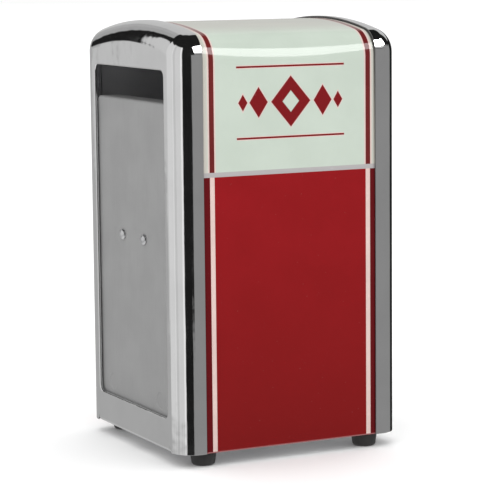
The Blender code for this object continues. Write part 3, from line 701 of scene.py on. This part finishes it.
def add_lip(bm):
    """The bottom edge bent back, notched where the base plate's knuckles stand."""
    stations = [-LIP_HALF]
    for middle in BASE_KNUCKLES:
        stations += [middle - NOTCH_HALF, middle + NOTCH_HALF]
    stations.append(LIP_HALF)
    profile = [(depth, inset) for inset, depth in quarter_round(LIP_RADIUS, LIP_STEPS)[::-1]]
    profile.append((LIP_DEPTH, 0.0))
    rows = []
    for depth, rise in profile:
        stations[0], stations[-1] = -seam(rise), seam(rise)
        rows.append([(FACE_X - depth, y, BODY_BOTTOM + rise) for y in stations])
    return add_rows(bm, rows, skip=lambda row, column: row > LIP_NOTCH_FROM and column % 2 == 1)


def add_curl(bm, middle):
    """A knuckle curled round the hinge rod."""
    rows = []
    for step in range(KNUCKLE_STEPS + 1):
        angle = -QUARTER - KNUCKLE_TURN * step / KNUCKLE_STEPS
        x = HINGE.x + KNUCKLE_RADIUS * math.cos(angle)
        z = HINGE.z + KNUCKLE_RADIUS * math.sin(angle)
        rows.append([(x, middle - DOOR_KNUCKLE_HALF, z), (x, middle + DOOR_KNUCKLE_HALF, z)])
    faces = add_rows(bm, rows)[1]
    face_away(bm, faces, (HINGE.x, middle, HINGE.z))


def make_faceplate(side, turned):
    bm = bmesh.new()
    section = [(0.0, FLANGE_DEPTH)] + quarter_round(EDGE_RADIUS, EDGE_STEPS)
    rows = [[(FACE_X - depth, y, z) for y, z in plate_arch(inset)] for inset, depth in section]
    grid, faces = add_rows(bm, rows)
    mouth, mouth_faces = add_mouth_rows(bm)
    lip, lip_faces = add_lip(bm)
    slit = [(seam(rise) + RELIEF_WIDTH, rise) for rise in (0, RELIEF_HEIGHT)]
    slit.append((seam(RELIEF_HEIGHT), RELIEF_HEIGHT))
    right, left = [
        [bm.verts.new((FACE_X, sign * y, BODY_BOTTOM + rise)) for y, rise in slit] for sign in (1, -1)
    ]
    outer = grid[-1] + right + lip[0][::-1] + left[::-1]
    flat = add_flat(bm, [outer, mouth[0]])
    face_away(bm, faces + mouth_faces + lip_faces + flat, MIDDLE)
    add_hem(bm)
    for middle in DOOR_KNUCKLES:
        add_curl(bm, middle)
    name = f"{side}_chrome_faceplate"
    plate = new_piece(name, bm, [CHROME, CHROME_INNER, SHADED_CUT_EDGE], turned)
    # The sheet's rims take the cut edge painted dark as shade
    sheet(plate, PLATE_SHEET, rim=2, inner=1)
    soften(plate, SHEET_EDGE)
    settle(plate)
    place(plate, f"{side}_door", [f"{side}_faceplate"], "chrome_plate")


# ---------------------------------------------------------------- followers, rivets, springs


def make_follower(side, turned):
    bm = bmesh.new()
    rows = []
    for inset, depth in [(0.0, FOLLOWER_DEPTH)] + quarter_round(FOLLOWER_ROUNDING, FOLLOWER_STEPS):
        loop = rounded_rectangle(
            FOLLOWER_HIGH.y - inset,
            FOLLOWER_BOTTOM + inset,
            FOLLOWER_HIGH.z - inset,
            FOLLOWER_CORNER - inset,
        )
        rows.append([(FOLLOWER_X - depth, y, z) for y, z in loop])
    grid, faces = add_rows(bm, rows, closed=True)
    loops = [grid[-1]]
    for y in (-DIMPLE_Y, DIMPLE_Y):
        dish = []
        for radius, depth in DIMPLE:
            ring = []
            for step in range(DIMPLE_SIDES):
                angle = FULL_TURN * step / DIMPLE_SIDES
                across, rise = radius * MM * math.cos(angle), radius * MM * math.sin(angle)
                ring.append((FOLLOWER_X - depth * MM, y + across, DIMPLE_Z + rise))
            dish.append(ring)
        dish_grid, dish_faces = add_rows(bm, dish, closed=True)
        faces += dish_faces
        faces.append(bm.faces.new(dish_grid[-1]))
        loops.append(dish_grid[0])
    faces += add_flat(bm, loops)
    face_away(bm, faces, MIDDLE)
    tab = [
        [(FOLLOWER_X - depth * MM, y, z * MM) for y in (-STOP_TAB_HALF, STOP_TAB_HALF)]
        for depth, z in STOP_TAB
    ]
    tab_faces = add_rows(bm, tab)[1]
    face_away(bm, tab_faces, (FOLLOWER_X, 0, 0), -1)
    name = f"{side}_follower_pan"
    pan = new_piece(name, bm, [GREY_STEEL], turned)
    sheet(pan, FOLLOWER_SHEET)
    soften(pan, THICK_SHEET_EDGE)
    settle(pan)
    place(pan, f"{side}_pusher", [f"{side}_follower"], "grey_steel")


def make_follower_rivets(side, turned):
    lie = Matrix.Rotation(QUARTER, 4, "Y")
    for letter, y in (("a", -RIVET_Y), ("b", RIVET_Y)):
        bm = bmesh.new()
        dome = []
        for step in range(RIVET_HEAD_STEPS + 1):
            angle = QUARTER * (1 - step / RIVET_HEAD_STEPS)
            rise = RIVET_SKIRT + RIVET_HEAD_RISE * math.sin(angle)
            dome.append((RIVET_HEAD_RADIUS * math.cos(angle), rise))
        profile = [(radius * MM, height * MM) for radius, height in (*dome, *RIVET_REST)]
        add_lathe(bm, profile, RIVET_SIDES, Matrix.Translation((FOLLOWER_X, y, RIVET_Z)) @ lie)
        bmesh.ops.recalc_face_normals(bm, faces=bm.faces)
        rivet = new_piece(f"{side}_rivet_{letter}", bm, [ZINC], turned)
        settle(rivet)
        place(rivet, f"{side}_pusher", [f"{side}_follower_rivet_{letter}"], "zinc")


def make_spring(side, turned):
    """A cone of wire, small at the follower and large at the divider."""
    small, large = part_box(f"{side}_spring")
    near = max(abs(small.x), abs(large.x)) - WIRE_RADIUS
    far = min(abs(small.x), abs(large.x)) + WIRE_RADIUS
    turns = SPRING_FULL_TURNS + (SPRING_END - SPRING_START) / FULL_TURN
    climb_turns = turns - 2 * SPRING_FLAT_TURNS
    count = round(turns * SPRING_POINTS_PER_TURN)
    bm = bmesh.new()
    path = []
    for index in range(count + 1):
        done = turns * index / count
        climbed = min(max((done - SPRING_FLAT_TURNS) / climb_turns, 0.0), 1.0)
        radius = SPRING_SMALL_RADIUS + climbed * (SPRING_LARGE_RADIUS - SPRING_SMALL_RADIUS)
        angle = SPRING_START + done * FULL_TURN
        eased = min(climbed / SPRING_LIFT_OVER, 1.0)
        lifted = climbed + SPRING_LIFT * eased * eased * (3 - 2 * eased) * (1 - climbed)
        x = near + lifted * (far - near)
        path.append(Vector((x, radius * math.cos(angle), RIVET_Z + radius * math.sin(angle))))
    rows = []
    for index, point in enumerate(path):
        ahead = path[min(index + 1, count)] - path[max(index - 1, 0)]
        side_way = Vector((1, 0, 0)).cross(ahead).normalized()
        up_way = ahead.cross(side_way).normalized()
        ring = []
        for step in range(WIRE_SIDES):
            angle = FULL_TURN * step / WIRE_SIDES
            ring.append(point + (side_way * math.cos(angle) + up_way * math.sin(angle)) * WIRE_RADIUS)
        rows.append(ring)
    grid = add_rows(bm, rows, closed=True)[0]
    bm.faces.new(grid[0])
    bm.faces.new(grid[-1])
    bmesh.ops.recalc_face_normals(bm, faces=bm.faces)
    spring = new_piece(f"{side}_coil_spring", bm, [SPRING_STEEL], turned)
    spring.data.shade_smooth()
    spring.data.set_sharp_from_angle(angle=WIRE_SHARP_ANGLE)
    place(spring, "housing", [f"{side}_spring"], "spring_steel")
    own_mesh(spring)


def make_hinge_rod(side, turned):
    bm = bmesh.new()
    tip, shoulder = ROD_RADIUS - ROD_CHAMFER, ROD_HALF - ROD_CHAMFER
    profile = [(0, ROD_HALF), (tip, ROD_HALF), (ROD_RADIUS, shoulder)]
    profile += [(radius, -height) for radius, height in reversed(profile)]
    add_lathe(bm, profile, ROD_SIDES, Matrix.Translation(HINGE) @ Matrix.Rotation(QUARTER, 4, "X"))
    bmesh.ops.recalc_face_normals(bm, faces=bm.faces)
    rod = new_piece(f"{side}_rod", bm, [ZINC], turned)
    settle(rod)
    place(rod, "housing", [f"{side}_hinge_rod"], "zinc")


# ---------------------------------------------------------------- feet


def make_foot(node, rivet_node):
    low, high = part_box(node)
    middle = (low + high) / 2
    top = high.z / MM
    outer = (high.x - low.x) / 2 / MM
    profile = [(FOOT_BORE, top), (outer - FOOT_TOP_CHAMFER, top), (outer, top - FOOT_TOP_CHAMFER)]
    for step in range(FOOT_TOE_STEPS + 1):
        angle = -QUARTER * step / FOOT_TOE_STEPS
        reach, rise = FOOT_TOE_ROUNDING * math.cos(angle), FOOT_TOE_ROUNDING * math.sin(angle)
        profile.append((FOOT_TOE_RADIUS - FOOT_TOE_ROUNDING + reach, FOOT_TOE_ROUNDING + rise))
    profile += [*FOOT_HOLLOW, (FOOT_BORE, top)]
    at = Matrix.Translation((middle.x, middle.y, 0))
    bm = bmesh.new()
    add_lathe(bm, [(radius * MM, height * MM) for radius, height in profile], FOOT_SIDES, at)
    bmesh.ops.remove_doubles(bm, verts=bm.verts, dist=SAME_POINT)
    bmesh.ops.recalc_face_normals(bm, faces=bm.faces)
    foot = new_piece("rubber_" + node, bm, [RUBBER])
    settle(foot)
    place(foot, "housing", [node], "black_rubber")
    NODES[rivet_node].material_slots[0].material = ZINC


make_shell()
for side, turned in (("left", True), ("right", False)):
    make_faceplate(side, turned)
    make_follower(side, turned)
    make_follower_rivets(side, turned)
    make_spring(side, turned)
    make_hinge_rod(side, turned)
    NODES[f"{side}_spring_strap"].material_slots[0].material = ZINC
    NODES[f"{side}_catch_tab"].material_slots[0].material = ZINC
    NODES[f"{side}_catch_spring"].material_slots[0].material = SPRING_STEEL
    for face in ("front", "back"):
        make_foot(f"foot_{face}_{side}", f"foot_rivet_{face}_{side}")
NODES["base_plate"].material_slots[0].material = PLAIN_STEEL
NODES["center_divider"].material_slots[0].material = PLAIN_STEEL


# ---------------------------------------------------------------- floor, light and camera


FLOOR_RINGS = (0.3, 1.5, 9.0)
FLOOR_SIDES = 64
FLOOR_WHITES = ((0.96, 0.96, 0.96), (0.975, 0.975, 0.975))


def make_floor():
    bm = bmesh.new()
    rings = []
    for radius in FLOOR_RINGS:
        turns = [FULL_TURN * step / FLOOR_SIDES for step in range(FLOOR_SIDES)]
        rings.append([(radius * math.cos(turn), radius * math.sin(turn), 0) for turn in turns])
    grid, faces = add_rows(bm, rings, closed=True)
    faces.append(bm.faces.new(grid[0]))
    bmesh.ops.recalc_face_normals(bm, faces=bm.faces)
    f = Finish("pale_floor", Roughness=0.9, Specular_IOR_Level=0.1)
    colour = f.mix(f.ramp(f.noise(3, 3.0), *NOISE_SPAN), *FLOOR_WHITES)
    floor = new_piece("floor", bm, [f.set(Base_Color=colour)])
    floor.visible_glossy = False


BACKDROP = 0.99
DARK_ROOM = 0.012
WANDER = 2  # degrees that the panels' edges stray from straight
WANDER_SCALE = 9
DEGREES = 180 / math.pi
# The soft panels that only polished surfaces see, one in each row. The brightest one shows.
STUDIO = (
    # from, to round the object in degrees, from, to above the horizon, soft edge, brightness,
    # lean of the sides in degrees round for each degree up
    (50, 89, -13.5, 46, 2.5, 0.70, 0),
    (50, 60, -13.5, 46, 2.5, 0.93, 0),
    (88, 99, -13.5, 46, 4, 0.62, 0),
    (98, 110, -13.5, 46, 4, 0.78, 0),
    (109, 146, -13, 42, 2, 0.73, 0),
    (145, 154.9, -10, 5, 1.5, 0.61, 0),
    (130, 152.9, 2, 31, 1.5, 0.64, 0.25),
    (128, 158.4, -5.5, 2.8, 2, 0.59, 0),
    (48, 134, -90, -12, 3, 0.50, 0),
    (128, 181, -90, 2.8, 2, 0.43, 0),
    (169.5, 181, 3, 41, 2, 0.40, 0),
    (-181, -160, -90, 41, 3, 0.44, 0),
    (-172, -142, -40, 42, 6, 0.58, 0),
    (-169, -139, 38, 56, 3, 0.58, 0),
    (-145, -106, 18, 44, 3, 0.62, 0),
    (-98, 3, -90, 14, 3, 0.28, 0),
    (-80, -55, 10, 20, 3, 0.28, 0),
    (0, 13, -90, -9.5, 2, 0.28, 0),
    (-68, -15, 24, 47, 2.5, 11.0, 0),
    (-60, -15, 16, 26, 3, 0.60, 0),
    (-181, 181, -90, -15, 3, 0.50, 0),
    (-181, 181, -90, -30, 8, 0.78, 0),
)


class Sky(Finish):
    """The world's nodes, with the same short calls as a finish."""

    def __init__(self, tree):
        self.tree = tree
        self.place = self.node("ShaderNodeTexCoord").outputs["Generated"]


def make_world():
    """White to the camera, even light to dull surfaces, a dark room with soft panels to polish."""
    world = bpy.data.worlds.new("studio")
    bpy.context.scene.world = world
    world.use_nodes = True
    s = Sky(world.node_tree)
    x, y, z = s.split(s.place)
    away = s.math("MULTIPLY", x, -1.0)
    near = s.math("MULTIPLY", y, -1.0)
    wander = s.math("MULTIPLY", s.math("SUBTRACT", s.noise(WANDER_SCALE, 2.0), 0.5), WANDER)
    around = s.math("MULTIPLY", s.math("ARCTAN2", away, near), DEGREES)
    above = s.math("ADD", s.math("MULTIPLY", s.math("ARCSINE", z), DEGREES), wander)
    total = DARK_ROOM
    for low, high, under, over, soft, bright, lean in STUDIO:
        upright = s.math("SUBTRACT", around, s.math("MULTIPLY", above, lean)) if lean else around
        panel = s.math("MULTIPLY", s.band(upright, low, high, soft), s.band(above, under, over, soft))
        total = s.math("MAXIMUM", total, s.math("MULTIPLY", panel, bright))
    room = s.node("ShaderNodeCombineColor", {0: total, 1: total, 2: total}).outputs[0]
    ray = s.node("ShaderNodeLightPath").outputs
    level = s.mix(ray["Is Camera Ray"], (FLAT_LIGHT,) * 3, (BACKDROP,) * 3)
    level = s.mix(ray["Is Glossy Ray"], level, room)
    world.node_tree.links.new(level, world.node_tree.nodes["Background"].inputs["Color"])


LIGHT_POWER = 2
LIGHT_TARGET = Vector((0, 0, 0.09))
LIGHTS = (("key", (-0.9, -1.1, 1.3), 1.2), ("top", (0.1, 0.2, 1.6), 1.5))  # name, place, side


def add_light(name, place, side):
    data = bpy.data.lights.new(name, "AREA")
    data.shape = "SQUARE"
    data.size = side
    data.energy = LIGHT_POWER
    light = bpy.data.objects.new(name, data)
    bpy.context.scene.collection.objects.link(light)
    light.location = place
    light.rotation_euler = (LIGHT_TARGET - Vector(place)).to_track_quat("-Z", "Y").to_euler()
    light.visible_glossy = False


# The camera, fitted to the photo's edges. It looks at a point near the middle of the dispenser.
CAMERA_YAW = math.radians(26.32)
CAMERA_PITCH = math.radians(7.59)
CAMERA_ROLL = math.radians(-0.59)
CAMERA_DISTANCE = 1006.31 * MM
CAMERA_LIFT = -9.30 * MM
CAMERA_SENSOR = 36
CAMERA_LENS = 160.2
CAMERA_SHIFT = 0.0199


def make_camera():
    level = math.cos(CAMERA_PITCH)
    right = Vector((math.cos(CAMERA_YAW), -math.sin(CAMERA_YAW), 0))
    ahead = Vector(
        (math.sin(CAMERA_YAW) * level, math.cos(CAMERA_YAW) * level, -math.sin(CAMERA_PITCH))
    )
    up = right.cross(ahead)
    turned_right = right * math.cos(CAMERA_ROLL) + up * math.sin(CAMERA_ROLL)
    turned_up = up * math.cos(CAMERA_ROLL) - right * math.sin(CAMERA_ROLL)
    spot = Vector(MIDDLE) - ahead * CAMERA_DISTANCE + turned_up * CAMERA_LIFT
    data = bpy.data.cameras.new("camera")
    data.sensor_width = CAMERA_SENSOR
    data.lens = CAMERA_LENS
    data.shift_x = CAMERA_SHIFT
    camera = bpy.data.objects.new("camera", data)
    bpy.context.scene.collection.objects.link(camera)
    axes = Matrix((turned_right, turned_up, -ahead)).transposed()
    camera.matrix_world = Matrix.Translation(spot) @ axes.to_4x4()
    bpy.context.scene.camera = camera


make_floor()
make_world()
for light in LIGHTS:
    add_light(*light)
make_camera()
bpy.context.scene.view_settings.view_transform = "Standard"
